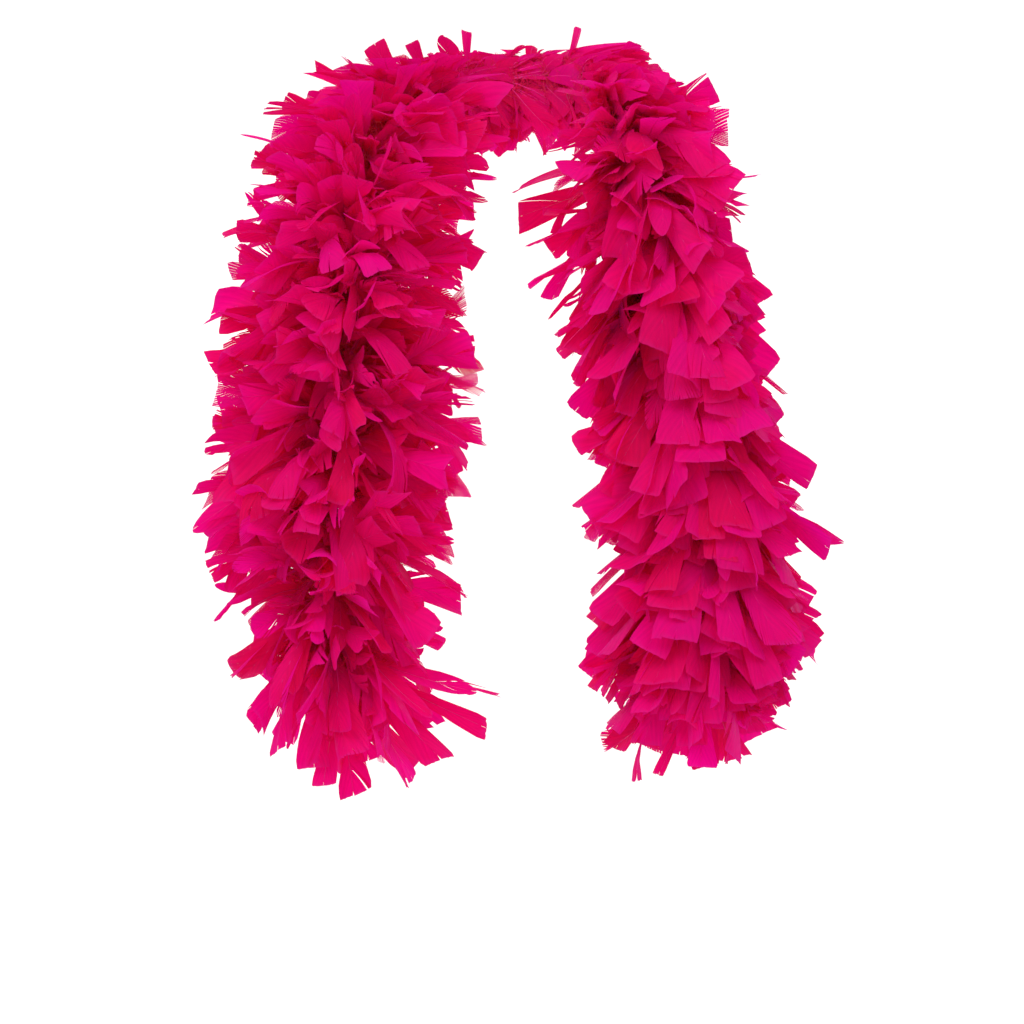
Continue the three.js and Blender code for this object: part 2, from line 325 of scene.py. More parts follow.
def vane_material(dye):
    """Turkey flat, acid dyed. The barbs hook into one web, so the vane has a low satin sheen with fine
    streaks along the barbs, and enough light comes through it to glow where vanes overlap."""
    material, tree, output = new_material("acid_dyed_turkey_vane")
    barbs = add_node(tree, "UVMap", {"uv_map": "barbs"})
    edge = add_node(tree, "Attribute", {"attribute_name": "edge"})
    # Barbs stand 0.4 mm apart, too fine to show. So the broadest streaks are drawn 3.5 mm apart and 60 mm
    # long, as bundles of barbs lie, with finer ones in them, down to 0.2 mm.
    streaks = add_node(
        tree, "Mapping", inputs={"Scale": (290.0, 16.0, 1.0)},
        links={"Vector": barbs.outputs["UV"]},
    )
    streak = add_node(
        tree, "TexNoise", {"noise_dimensions": "2D"},
        {"Scale": 1.0, "Detail": 4.0, "Roughness": 0.68}, {"Vector": streaks.outputs["Vector"]},
    )
    shade = toned(tree, dye.deep, dye.vane)
    spread = add_node(
        tree, "MapRange", inputs={"From Min": 0.3, "From Max": 0.7, "To Min": 0.91, "To Max": 1.06},
        links={"Value": streak.outputs["Fac"]},
    )
    streaked = add_node(
        tree, "HueSaturation",
        links={"Value": spread.outputs["Result"], "Color": shade.outputs["Result"]},
    )
    # Painted backlight: towards their ends the barbs are mixed up to half way into the paler violet pink, as
    # if lit from behind.
    backlit_tips = add_node(
        tree, "MapRange", inputs={"From Min": 0.72, "From Max": 1.0, "To Min": 0.0, "To Max": 0.5},
        links={"Value": edge.outputs["Fac"]},
    )
    colour = add_node(
        tree, "Mix", {"data_type": "RGBA"}, {"B": rgba(dye.backlit_tips)},
        {"Factor": backlit_tips.outputs["Result"], "A": streaked.outputs["Color"]},
    )
    relief = add_node(
        tree, "Bump", inputs={"Strength": 0.35, "Distance": 0.0006},
        links={"Height": streak.outputs["Fac"]},
    )
    # The sheen is the light that grazes the free edges of the barbs.
    return finish_material(
        material, output,
        {"Roughness": 0.6, "IOR": 1.54, "Specular IOR Level": 0.06,
         "Sheen Weight": 0.7, "Sheen Roughness": 0.5, "Sheen Tint": rgba(dye.sheen)},
        {"Base Color": colour.outputs["Result"], "Normal": relief.outputs["Normal"]}, through=0.5,
    )


def rachis_material(dye):
    """Dyed feather horn. Solid keratin takes the dye paler than the vane, and is smoother and glossier."""
    material, tree, output = new_material("dyed_feather_horn")
    return finish_material(
        material, output, {"Roughness": 0.42, "IOR": 1.54, "Specular IOR Level": 0.25},
        {"Base Color": toned(tree, dye.rachis, dye.vane).outputs["Result"]},
    )


def down_material(dye):
    """Plumulaceous down. The loose barbs have no hooks, so it is matt and soft, and lit right through."""
    material, tree, output = new_material("dyed_turkey_down")
    return finish_material(
        material, output, {"Roughness": 0.85, "IOR": 1.54, "Specular IOR Level": 0.1, "Sheen Weight": 0.3},
        {"Base Color": toned(tree, dye.down, dye.deep).outputs["Result"]}, through=0.4,
    )


def yarn_material(name, colour, roughness, fibre_scale):
    """Dyed spun yarn. Loose fibres scatter light, so it is dull, with a mottle of fibres at its surface. The
    scale is mottles to the metre, many times coarser than the fibres' own 0.02 mm, so that they show."""
    material, tree, output = new_material(name)
    place = add_node(tree, "TexCoord")
    fibres = add_node(
        tree, "TexNoise", inputs={"Scale": fibre_scale, "Detail": 4.0, "Roughness": 0.7},
        links={"Vector": place.outputs["Object"]},
    )
    value = add_node(
        tree, "MapRange", inputs={"From Min": 0.3, "From Max": 0.7, "To Min": 0.7, "To Max": 1.15},
        links={"Value": fibres.outputs["Fac"]},
    )
    mottled = add_node(
        tree, "HueSaturation", inputs={"Color": rgba(colour)},
        links={"Value": value.outputs["Result"]},
    )
    relief = add_node(
        tree, "Bump", inputs={"Strength": 0.5, "Distance": 0.0003},
        links={"Height": fibres.outputs["Fac"]},
    )
    return finish_material(
        material, output, {"Roughness": roughness, "Sheen Weight": 0.25, "Specular IOR Level": 0.2},
        {"Base Color": mottled.outputs["Color"], "Normal": relief.outputs["Normal"]},
    )


def paper_material(colour):
    """Matt studio background paper. Uncoated pulp scatters all light alike, so no gloss shows on it."""
    material, _, output = new_material("matt_studio_paper")
    return finish_material(
        material, output, {"Base Color": rgba(colour), "Roughness": 0.95, "Specular IOR Level": 0.1},
    )


def material_of(name, make, *details):
    """The material of that name, made once."""
    return bpy.data.materials.get(name) or make(*details)


def cotton_material(dye):
    """Three-ply laid cotton cord, dull, with a mottle of 1.1 mm."""
    name = "laid_cotton_cord"
    return material_of(name, yarn_material, name, dye.cord, 0.9, 900.0)


def thread_material(dye):
    """Spun sewing thread, smoother than the cord, with a mottle of 0.4 mm."""
    name = "spun_sewing_thread"
    return material_of(name, yarn_material, name, dye.thread, 0.7, 2400.0)


def smooth_line(points, per_span=250):
    """The centripetal Catmull-Rom line through the points, as many short chords."""
    points = np.array(points, float)
    first, last = 2 * points[0] - points[1], 2 * points[-1] - points[-2]
    around = np.vstack([first, points, last])
    share = np.linspace(0, 1, per_span, endpoint=False)[:, None]
    line = []
    for a, b, c, d in zip(around[:-3], around[1:-2], around[2:-1], around[3:]):
        ab, bc, cd = (math.sqrt(np.linalg.norm(q - p)) for p, q in ((a, b), (b, c), (c, d)))
        start = ((b - a) / ab - (c - a) / (ab + bc) + (c - b) / bc) * bc
        stop = ((c - b) / bc - (d - b) / (bc + cd) + (d - c) / cd) * bc
        squared, cubed = 3 * (c - b) - 2 * start - stop, 2 * (b - c) + start + stop
        line.append(b + start * share + squared * share**2 + cubed * share**3)
    return np.vstack([*line, points[-1:]])


class Cord:
    """The core cord's centreline. Places on it are distances from the nape, below 0 on the left."""

    def __init__(self):
        self.line = smooth_line([*LEFT_ROUTE[::-1], (0, 0, 0), *RIGHT_ROUTE])
        steps = np.linalg.norm(np.diff(self.line, axis=0), axis=1)
        self.at = np.concatenate([[0], np.cumsum(steps)])
        nape = np.argmin(np.linalg.norm(self.line, axis=1))
        self.at -= self.at[nape]
        self.ends = {"left": -self.at[0], "right": self.at[-1]}

    def point(self, at):
        return np.stack([np.interp(at, self.at, self.line[:, i]) for i in range(3)], axis=-1)

    def along(self, at):
        step = self.point(at + 0.002) - self.point(at - 0.002)
        return step / np.linalg.norm(step, axis=-1, keepdims=True)

    def axes(self, at):
        """Along the stringing, out from the wearer, and inner, square to both."""
        along = self.along(at)
        body = read_along(BODY, at)
        outer = -np.stack([body["x"], body["y"], body["z"]], axis=-1)
        outer -= along * np.sum(outer * along, axis=-1, keepdims=True)
        outer /= np.linalg.norm(outer, axis=-1, keepdims=True)
        return along, outer, np.cross(along, outer)

    def stretch(self, start, stop, step):
        """Points on the cord from start to stop, about a step apart."""
        count = max(2, round(abs(stop - start) / step) + 1)
        return self.point(np.linspace(start, stop, count))


def read_along(rows, at):
    """Values at places on the cord, read between the two nearest rows of a list that is ordered by at."""
    places = [row["at"] for row in rows]
    return {key: np.interp(at, places, [row[key] for row in rows]) for key in rows[0]}


cord = Cord()


def sections(side):
    """Each section of one side: its name, where it starts and stops on the cord, and its number of ruffs."""
    reach = cord.ends[side] - END_MARGIN
    upper = YOKE_STRETCH + UPPER_STRETCH
    stops = [0, YOKE_STRETCH, upper, upper + MIDDLE_STRETCH, reach]
    return [(part, stops[i], stops[i + 1], RUFFS[part]) for i, part in enumerate(RUFFS)]


def body_name(side, part):
    return "yoke" if part == "yoke" else f"{side}_{part}"


def cord_lengths():
    """The lengths of cord between the bends: the body that each rides on, which it is named for, and where it
    starts and stops."""
    lengths = [("yoke", -YOKE_STRETCH, YOKE_STRETCH)]
    for side, sign in SIDES:
        for part, start, stop, _ in sections(side)[1:]:
            lengths.append((body_name(side, part), sign * start, sign * stop))
    return lengths


def mesh_piece(name, points, faces, materials, face_material=None, layers=None, floats=None):
    """A mesh object from arrays of points and of faces with equally many corners. layers are UV maps and
    floats are attributes, with a value for each point."""
    points, faces = np.asarray(points, np.float32), np.asarray(faces, np.int32)
    sides = faces.shape[1]
    mesh = bpy.data.meshes.new(name)
    mesh.vertices.add(len(points))
    mesh.vertices.foreach_set("co", points.ravel())
    mesh.loops.add(faces.size)
    mesh.loops.foreach_set("vertex_index", faces.ravel())
    mesh.polygons.add(len(faces))
    mesh.polygons.foreach_set("loop_start", np.arange(0, faces.size, sides, dtype=np.int32))
    mesh.polygons.foreach_set("use_smooth", np.full(len(faces), True))
    for material in materials:
        mesh.materials.append(material)
    if face_material is not None:
        mesh.polygons.foreach_set("material_index", np.asarray(face_material, np.int32))
    for title, values in (layers or {}).items():
        layer = mesh.uv_layers.new(name=title)
        layer.data.foreach_set("uv", np.asarray(values, np.float32)[faces.ravel()].ravel())
    for title, values in (floats or {}).items():
        attribute = mesh.attributes.new(title, "FLOAT", "POINT")
        attribute.data.foreach_set("value", np.asarray(values, np.float32))
    mesh.update(calc_edges=True)
    mesh.validate()
    piece = bpy.data.objects.new(name, mesh)
    bpy.context.scene.collection.objects.link(piece)
    return piece


def ring_faces(rings, sides):
    """Quads between rings of points, each ring closed on itself."""
    ring, side = np.meshgrid(np.arange(rings - 1), np.arange(sides), indexing="ij")
    after = (side + 1) % sides
    low, high = ring * sides, (ring + 1) * sides
    return np.stack([low + side, low + after, high + after, high + side], axis=-1).reshape(-1, 4)


def frames_along(path):
    """A direction and two square axes at each point of a path, turning as little as they can."""
    ahead = np.gradient(path, axis=0)
    ahead /= np.linalg.norm(ahead, axis=1, keepdims=True)
    side = np.cross(ahead[0], (0.3, 0.5, 0.8))
    sides = []
    for direction in ahead:
        side = side - direction * side.dot(direction)
        side /= np.linalg.norm(side)
        sides.append(side)
    sides = np.array(sides)
    return ahead, sides, np.cross(ahead, sides)


def tube(path, radii, sides=8):
    """Points and quads of a closed tube on a path, its ends drawn in to a point."""
    _, across, up = frames_along(path)
    turn = np.arange(sides) / sides * 2 * math.pi
    circle = across[:, None] * np.cos(turn)[:, None] + up[:, None] * np.sin(turn)[:, None]
    radii = np.broadcast_to(radii, len(path)).copy()
    rings = path[:, None] + circle * radii[:, None, None]
    rings = np.concatenate([path[:1, None] + circle[:1] * 1e-5, rings, path[-1:, None] + circle[-1:] * 1e-5])
    return rings.reshape(-1, 3), ring_faces(len(rings), sides)


def twisted(path, plies, ply_radius, offset, pitch, sides=6):
    """A laid cord: plies that turn about a path once in each pitch."""
    _, across, up = frames_along(path)
    steps = np.linalg.norm(np.diff(path, axis=0), axis=1)
    at = np.concatenate([[0], np.cumsum(steps)])
    points, faces = [], []
    for ply in range(plies):
        turn = at / pitch * 2 * math.pi + ply / plies * 2 * math.pi
        centre = path + offset * (across * np.cos(turn)[:, None] + up * np.sin(turn)[:, None])
        ply_points, ply_faces = tube(centre, ply_radius, sides)
        faces.append(ply_faces + sum(map(len, points)))
        points.append(ply_points)
    return np.vstack(points), np.vstack(faces)


# Feathers are made flat first, on their own axes: X across the vane, Y from the quill's foot to the tip, Z
# out of its face. Every array has a row for each feather.
STRIPS = 17      # bundles of barbs on each side of the rachis
BARB_STEPS = 4
RACHIS_STEPS = 7
DOWN_BARBS = 14
DOWN_STEPS = 3
VANE_START = 0.19        # where the vane starts along the feather, and how much of the feather it takes up
VANE_SHARE = 0.77
BARBED_LENGTH = 0.06     # of rachis with barbs on it, as the vane's streaks are drawn
RACHIS_REACH = 0.94      # the rachis stops short of the tip, at this share of the feather
CELL = (0.01, 0.99)      # each feather's own cell of the UV map, kept clear of the next one's
BENT_STEPS = 43          # points at which a feather's bend is added up along it
PAST_TIP = 1.05          # the furthest that any barb reaches, as a share of the feather


def outlines(rng, raggedness):
    """The proportions of each feather's vane. Most turkey flats end square. The others are pointed coverts,
    up to a quarter of them where the ruff is ragged.

    foot and shoulder are where the sides start and end, as shares of the length. waist is the vane's share of
    its full width at the foot, and flare how it widens from there. corner is the share of the barbs that end
    on the sides, and squareness how flat the end is. slant and uneven make one side longer or wider than the
    other, splits is how often barbs part, and fray how far each bundle thins to its end."""
    count = len(raggedness)
    pointed = rng.random((count, 1)) < 0.04 + 0.22 * raggedness

    def pick(flat, leaf):
        return np.where(pointed, rng.uniform(*leaf, (count, 1)), rng.uniform(*flat, (count, 1)))

    def noise(everywhere, ragged):
        return rng.normal(0, everywhere, (count, 1)) + rng.normal(0, ragged, (count, 1)) * raggedness**2

    return {
        "narrowing": np.where(pointed, 0.62, 1.0),
        "corner": pick((0.48, 0.60), (0.40, 0.50)),
        "foot": pick((0.28, 0.36), (0.26, 0.34)),
        "shoulder": pick((0.935, 0.985), (0.62, 0.76)),
        "waist": pick((0.34, 0.52), (0.55, 0.80)),
        "flare": pick((0.70, 1.25), (0.5, 0.9)),
        "squareness": pick((4.0, 10.0), (1.5, 2.1)),
        "slant": noise(0.012, 0.035),
        "uneven": noise(0.10, 0.12),
        "splits": (
            0.01 + 0.14 * rng.random((count, 1)) ** 2 + 0.20 * rng.random((count, 1)) ** 2 * raggedness**2
        ),
        "fray": np.clip(rng.normal(-0.6, 0.5, (count, 1)) + 0.35 * raggedness, 0, 0.9),
    }


def vane_side(rng, sign, shape, width, length):
    """One side of each vane, as strips that follow the barbs and part here and there."""
    count = len(length)
    number = np.linspace(0, 1, STRIPS + 1)
    rise = np.clip(number / shape["corner"], 0, 1)
    across_top = 1 - np.clip((number - shape["corner"]) / (1 - shape["corner"]), 0, 1)
    half_width = width / 2 * (1 + sign * shape["uneven"])
    end_x = half_width * (shape["waist"] + (1 - shape["waist"]) * rise ** shape["flare"]) * across_top
    tip = (1 - across_top ** shape["squareness"]) ** (1 / shape["squareness"])
    end_y = shape["foot"] + (shape["shoulder"] - shape["foot"]) * rise + (1 - shape["shoulder"]) * tip
    end_y = length * (end_y + sign * shape["slant"] * rise * across_top)
    root_y = length * (VANE_START + VANE_SHARE * number**0.95)
    bow_x = end_x / 2 + 0.05 * (end_y - root_y)
    bow_y = (root_y + end_y) / 2 - 0.10 * end_x

    places = np.arange(STRIPS)
    parts = rng.random((count, STRIPS)) < shape["splits"]
    group = np.maximum.accumulate(np.where(parts, places, 0), axis=1)

    def grouped(values):
        return np.where(group > 0, np.take_along_axis(values, group, 1), 0)

    opening = grouped(rng.normal(0, 0.045, (count, STRIPS)))
    lifting = grouped(rng.normal(0, 0.0014, (count, STRIPS)))
    shorter = grouped(rng.uniform(0, 0.03, (count, STRIPS)))
    line = np.repeat(np.arange(STRIPS + 1), 2)[1:-1]
    cut = 1 + rng.uniform(-0.016, 0.010, (count, STRIPS + 1))[:, line] - np.repeat(shorter, 2, axis=1)
    t = np.linspace(0, 1, BARB_STEPS + 1)
    s = cut[..., None] * t
    away_x = 2 * s * (1 - s) * bow_x[:, line, None] + s**2 * end_x[:, line, None]
    root = root_y[:, line, None]
    away_y = (1 - s) ** 2 * root + 2 * s * (1 - s) * bow_y[:, line, None] + s**2 * end_y[:, line, None] - root
    open_by = np.repeat(opening, 2, axis=1)[..., None]
    x = sign * np.maximum(away_x + open_by * away_y, 0)
    y = root + away_y - open_by * away_x
    z = np.repeat(lifting, 2, axis=1)[..., None] * t**1.6 + 0 * x
    thinned = shape["fray"] * rng.uniform(0.1, 1.0, (count, STRIPS))
    loose = thinned[..., None] * np.clip(t / 0.55 - 0.8, 0, 1)
    for axis in (x, y):
        axis[:, 1::2] += (axis[:, 0::2] - axis[:, 1::2]) * loose
    near_edge = np.broadcast_to(t * (0.6 + 0.4 * number[line, None]), x.shape)
    barb_u = np.broadcast_to(BARBED_LENGTH * number[line, None] + 0 * t, x.shape)
    barb_v = t * np.hypot(end_x, end_y - root_y)[:, line, None]

    first = np.arange(STRIPS)[:, None] * 2 * (BARB_STEPS + 1)
    low = (first + np.arange(BARB_STEPS)).ravel()
    far = low + BARB_STEPS + 1
    faces = np.stack([low, far, far + 1, low + 1] if sign > 0 else [low, low + 1, far + 1, far], -1)
    flat = [array.reshape(count, -1) for array in (x, y, z, near_edge, barb_u, barb_v)]
    return np.stack(flat[:3], -1), faces, flat[3], np.stack(flat[4:], -1)


def shafts(length, thickness):
    """Each feather's quill and rachis, a three-sided shaft that thins to the tip."""
    share = np.linspace(0, RACHIS_REACH, RACHIS_STEPS + 1)[:, None]
    radius = thickness / 2 * (1 - 0.88 * share)
    turn = np.arange(3) / 3 * 2 * math.pi + math.pi / 2
    across, up = radius * np.cos(turn), radius * (np.sin(turn) + 0.2)
    y = length[..., None] * (share + 0 * turn)
    x, z = np.broadcast_to(across, y.shape), np.broadcast_to(up, y.shape)
    return np.stack([x, y, z], -1).reshape(len(length), -1, 3), ring_faces(RACHIS_STEPS + 1, 3)


def down(rng, length):
    """Loose curling barbs at the foot of each vane."""
    size = (len(length), DOWN_BARBS)
    root = rng.uniform(0.06, 0.36, size) * length
    sign = np.where(np.arange(DOWN_BARBS) % 2, 1.0, -1.0)
    reach = rng.uniform(0.016, 0.036, size)[..., None]
    climb, hook = rng.uniform(0.1, 1.1, size)[..., None], rng.normal(0, 0.6, size)[..., None]
    rise = rng.normal(0, 0.010, size)[..., None]
    t = np.linspace(0, 1, DOWN_STEPS + 1)
    angle = climb + hook * t
    x = sign[:, None] * reach * t * np.cos(angle)
    y = root[..., None] + reach * t * np.sin(angle)
    z = rise * t**1.5
    half = 0.0006 * (1.1 - t)
    points = np.stack([np.stack([x, y - half, z], -1), np.stack([x, y + half, z + 0.0002], -1)], 2)
    first = np.arange(DOWN_BARBS)[:, None] * 2 * (DOWN_STEPS + 1)
    near = (first + np.arange(DOWN_STEPS)).ravel()
    far = near + DOWN_STEPS + 1
    return points.reshape(size[0], -1, 3), np.stack([near, near + 1, far + 1, far], -1)


def curl(rng, points, length, width, bow, much):
    """Folds, cups, ripples, twists and bows flat feathers, as dried vanes are. bow is in radians."""
    count = len(points)

    def each(mean, spread):
        return rng.normal(mean, spread, (count, 1)) * much

    x, y, z = np.moveaxis(points, -1, 0)
    share = np.clip(y / length, 0, PAST_TIP)
    # Fold along the rachis, cup across it, and ripple.
    z = z + each(0.06, 0.16) * np.abs(x) * share - each(0.06, 0.20) * x**2 / (width / 2) * share
    wave, start = rng.uniform(0.006, 0.012, (count, 1)), rng.uniform(0, 6.3, (count, 1))
    z = z + rng.uniform(0.0003, 0.0030, (count, 1)) * much * np.sin(x / wave + start) * share**2
    # Twist about the rachis, then bend along it.
    twist = each(0, 0.34) * share
    x, z = x * np.cos(twist) - z * np.sin(twist), x * np.sin(twist) + z * np.cos(twist)
    fine = np.linspace(0, PAST_TIP, BENT_STEPS)
    angles = (each(0, 0.20) - bow) * fine + each(0, 0.30) * fine**2.5
    step = length * (fine[1] - fine[0])
    run, climb = np.cumsum(np.cos(angles) * step, axis=1), np.cumsum(np.sin(angles) * step, axis=1)
    run, climb = run - run[:, :1], climb - climb[:, :1]
    place = share / (fine[1] - fine[0])
    low = np.minimum(place.astype(int), len(fine) - 2)
    rest = place - low

    def read(table):
        return np.take_along_axis(table, low, 1) * (1 - rest) + np.take_along_axis(table, low + 1, 1) * rest

    here = read(angles)
    return np.stack([x, read(run) - z * np.sin(here), read(climb) + z * np.cos(here)], -1)


def soft_limit(depth, limit):
    """Depths past half the limit are pressed together so that none passes the limit."""
    start = limit / 2
    over = np.maximum(depth - start, 0)
    return np.where(depth > start, start + (limit - start) * (1 - np.exp(-over / (limit - start))), depth)


def lay(rng, at, turn, strays, sizes):
    """Feathers, each placed where it grows from the cord, with the wearer and its own weight acting on it.
    The last ones are the strays, which reach for their own tips."""
    count = len(at)
    last = slice(count - len(strays), count)
    free = np.arange(count)[:, None] >= last.start
    lie = {key: values[:, None] for key, values in read_along(LIE, at).items()}
    along, outer, inner = cord.axes(at)
    untidy = sizes.untidiness
    turn = turn[:, None] + rng.normal(0, 0.025, (count, 1)) * lie["stray"] * untidy
    cosine, sine = np.cos(turn), np.sin(turn)
    inward = np.maximum(-cosine, 0)
    radial = np.where(cosine < 0, 0.55, 1.0) * cosine * outer + sine * lie["spread"] * inner
    radial /= np.linalg.norm(radial, axis=1, keepdims=True)
    flank = np.where(sine > 0, lie["inner"], lie["edge"])
    reach = cosine**2 * lie["outer"] + sine**2 * flank
    lean = lie["lean"] + rng.normal(0, 1, (count, 1)) * lie["stray"] * untidy
    lean = np.radians(lean + (PRESSED_LEAN - lean) * inward**2 * 0.7)
    bow = np.radians(lie["bow"]) * (1 - inward)
    if strays:
        aim = np.array([tip for _, _, tip in strays]) - cord.point(at[last])
        ahead = np.sum(aim * along[last], axis=1, keepdims=True)
        aside = aim - ahead * along[last]
        beyond = np.linalg.norm(aside, axis=1, keepdims=True)
        radial[last] = aside / beyond
        lean[last] = np.arctan2(ahead, beyond)
        bow[last] = 0
    raggedness = np.clip(lie["stray"] / RAGGEDEST, 0, 1)
    full = rng.random((count, 1)) < FULL_SHARE
    short = 0.50 - 0.12 * raggedness
    share = np.where(full, rng.uniform(0.90, 1.05, (count, 1)), rng.uniform(short, 0.84))
    length = np.minimum(LONGEST_FEATHER, share * reach / np.maximum(np.cos(lean + bow / 2), 0.62))
    shape = outlines(rng, raggedness)
    shape["fray"] = np.where(free, 0, shape["fray"])
    width = sizes.vane_width * lie["width"] * rng.uniform(0.78, 1.26, (count, 1)) * shape["narrowing"]
    width *= 0.6 + 0.4 * length / BROAD_LENGTH
    if strays:
        length[last] = np.linalg.norm(aim, axis=1, keepdims=True)
        width[last, 0] = [vane for _, vane, _ in strays]

    parts = []
    for sign in (-1, 1):
        parts.append((*vane_side(rng, sign, shape, width, length), 0))
    shaft, shaft_faces = shafts(length, sizes.quill)
    parts.append((shaft, shaft_faces, np.zeros(shaft.shape[:2]), np.zeros((*shaft.shape[:2], 2)), 1))
    loose, loose_faces = down(rng, length)
    parts.append((loose, loose_faces, np.full(loose.shape[:2], 0.5), np.zeros((*loose.shape[:2], 2)), 2))
    flat = np.concatenate([part[0] for part in parts], axis=1)
    starts = np.cumsum([0, *(part[0].shape[1] for part in parts)])
    faces = np.vstack([part[1] + start for part, start in zip(parts, starts)])

    much = np.where(free, STRAY_CURL, 0.45 + 1.1 * raggedness)
    curled = curl(rng, flat, length, width, bow, much)
    forward = radial * np.cos(lean) + along * np.sin(lean)
    across = np.cross(along, radial)
    aside = np.where(free, 0, rng.normal(0, 0.016, (count, 1)) * lie["stray"] * untidy)
    forward, across = (
        forward * np.cos(aside) + across * np.sin(aside),
        across * np.cos(aside) - forward * np.sin(aside),
    )
    roll = rng.normal(0, 1, (count, 1)) * np.where(free, STRAY_ROLL, lie["roll"]) * untidy
    across = across * np.cos(roll) + np.cross(forward, across) * np.sin(roll)
    turned = np.stack([across, forward, np.cross(across, forward)], axis=1)
    root = cord.point(at) + radial * (CORD_DIAMETER / 2 + WINDING_GAP + THREAD_DIAMETER)
    offset = curled @ turned
    sag = np.where(free, 0, rng.uniform(0.3, 1.3, (count, 1)))
    offset[..., 2] -= (offset[..., 0] ** 2 + offset[..., 1] ** 2) * sag
    placed = root[:, None] + offset
    placed = np.where(free[..., None], placed, make_room(rng, placed.copy(), at, lie, outer))
    return {
        "points": placed,
        "faces": faces,
        "kinds": np.concatenate([np.full(len(part[1]), part[4]) for part in parts]),
        "edge": np.concatenate([part[2] for part in parts], axis=1),
        "barbs": np.concatenate([part[3] for part in parts], axis=1),
        "tone": np.clip(rng.normal(0.5, 0.3, (count, 1)), 0, 1) + np.zeros(flat.shape[:2]),
        "sheet": np.stack(
            [0.5 + flat[..., 0] / (width * 1.7), flat[..., 1] / (length * 1.1)], -1
        ).clip(*CELL),
    }


def make_room(rng, placed, at, lie, outer):
    """Presses the feathers back from the wearer's body and neck, and limits how high and far forward they
    stand."""
    base = cord.point(at)[:, None]
    inwards = np.sum((placed - base) * -outer[:, None], axis=-1)
    back = inwards - soft_limit(inwards, lie["press"] * rng.uniform(0.6, 1.2, (len(at), 1)))
    placed = placed + back[..., None] * outer[:, None]
    above = placed[..., 2] - base[..., 2]
    placed[..., 2] += soft_limit(above, lie["crown"] * rng.uniform(0.65, 1.2, (len(at), 1))) - above
    ahead = base[..., 1] - placed[..., 1]
    placed[..., 1] += ahead - soft_limit(ahead, FRONT_DEPTH)
    from_axis = placed[..., :2] - NECK_AXIS
    distance = np.linalg.norm(from_axis, axis=-1)
    neck = NECK_RADIUS * rng.uniform(0.96, 1.35, (len(at), 1))
    rim = neck + NECK_SOFTNESS
    near = (distance < rim) & (placed[..., 2] > SHOULDERS_Z)
    pushed = neck + NECK_SOFTNESS * distance / rim
    moved = NECK_AXIS + from_axis * (pushed / np.maximum(distance, 1e-4))[..., None]
    placed[..., :2] = np.where(near[..., None], moved, placed[..., :2])
    return placed


def build_ruff(name, middle, half, sizes, dye):
    """The feathers of one ruff, with any strays that grow from it, as one piece."""
    rng = np.random.default_rng([sizes.seed, *name.encode()])
    spot = (np.arange(sizes.per_ruff) + 0.5) / sizes.per_ruff
    at = middle + (spot * 2 - 1) * half + rng.normal(0, 0.003, sizes.per_ruff)
    at = np.clip(at, END_MARGIN - cord.ends["left"], cord.ends["right"] - END_MARGIN)
    strays = [row for row in STRAYS if abs(row[0] - middle) <= half]
    at = np.concatenate([at, [root for root, _, _ in strays]])
    count = len(at)
    columns = math.ceil(math.sqrt(count))
    made = lay(rng, at, at / sizes.pitch * 2 * math.pi, strays, sizes)
    number = np.arange(count)
    cell = np.stack([number % columns, number // columns], -1)[:, None]
    per_feather = made["points"].shape[1]
    faces = made["faces"] + (number * per_feather)[:, None, None]
    return mesh_piece(
        name,
        made["points"].reshape(-1, 3),
        faces.reshape(-1, 4),
        [
            material_of("acid_dyed_turkey_vane", vane_material, dye),
            material_of("dyed_feather_horn", rachis_material, dye),
            material_of("dyed_turkey_down", down_material, dye),
        ],
        np.tile(made["kinds"], count),
        {"OFBake": ((cell + made["sheet"]) / columns).reshape(-1, 2), "barbs": made["barbs"].reshape(-1, 2)},
        {"tone": made["tone"].ravel(), "edge": made["edge"].ravel()},
    )


def ride_or_bend(piece, side, part, middle):
    """A ruff within reach of a bend of the cord is fixed where it is made, on no section, and any other rides
    on its own section.
    """
    names = [body_name(side, row[0]) for row in sections(side)]
    for before, after, bend in zip(names, names[1:], [row[2] for row in sections(side)]):
        if abs(middle - bend) < BEND_REACH:
            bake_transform(piece)
            return
    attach(piece, body_name(side, part))


class BOA_OT_core_cord(bpy.types.Operator):
    """Builds the core cord, a laid cotton cord, one length for each section that bends"""

    bl_idname = "boa.core_cord"
    bl_label = "Core cord"

    def execute(self, context):
        cotton = cotton_material(context.scene.boa_dye)
        for body, start, stop in cord_lengths():
            path = cord.stretch(start, stop, CORD_STEP)
            plies = (CORD_DIAMETER * PLY_RADIUS, CORD_DIAMETER * PLY_OFFSET)
            points, faces = twisted(path, 3, *plies, CORD_LAY)
            piece = mesh_piece(f"{body}_laid_cord", points, faces, [cotton])
            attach(piece, body)
            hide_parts(f"{body}_core_cord")
        return {"FINISHED"}


class BOA_OT_stitching_thread(bpy.types.Operator):
    """Winds the fringe's stitching thread round the core cord"""

    bl_idname = "boa.stitching_thread"
    bl_label = "Stitching thread"

    def execute(self, context):
        spun = thread_material(context.scene.boa_dye)
        for body, start, stop in cord_lengths():
            path = cord.stretch(start, stop, THREAD_STEP)
            points, faces = twisted(path, 1, THREAD_DIAMETER / 2, WOUND_RADIUS, THREAD_PITCH, 5)
            piece = mesh_piece(f"{body}_wound_thread", points, faces, [spun])
            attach(piece, body)
            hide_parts(f"{body}_stitching_thread")
        return {"FINISHED"}


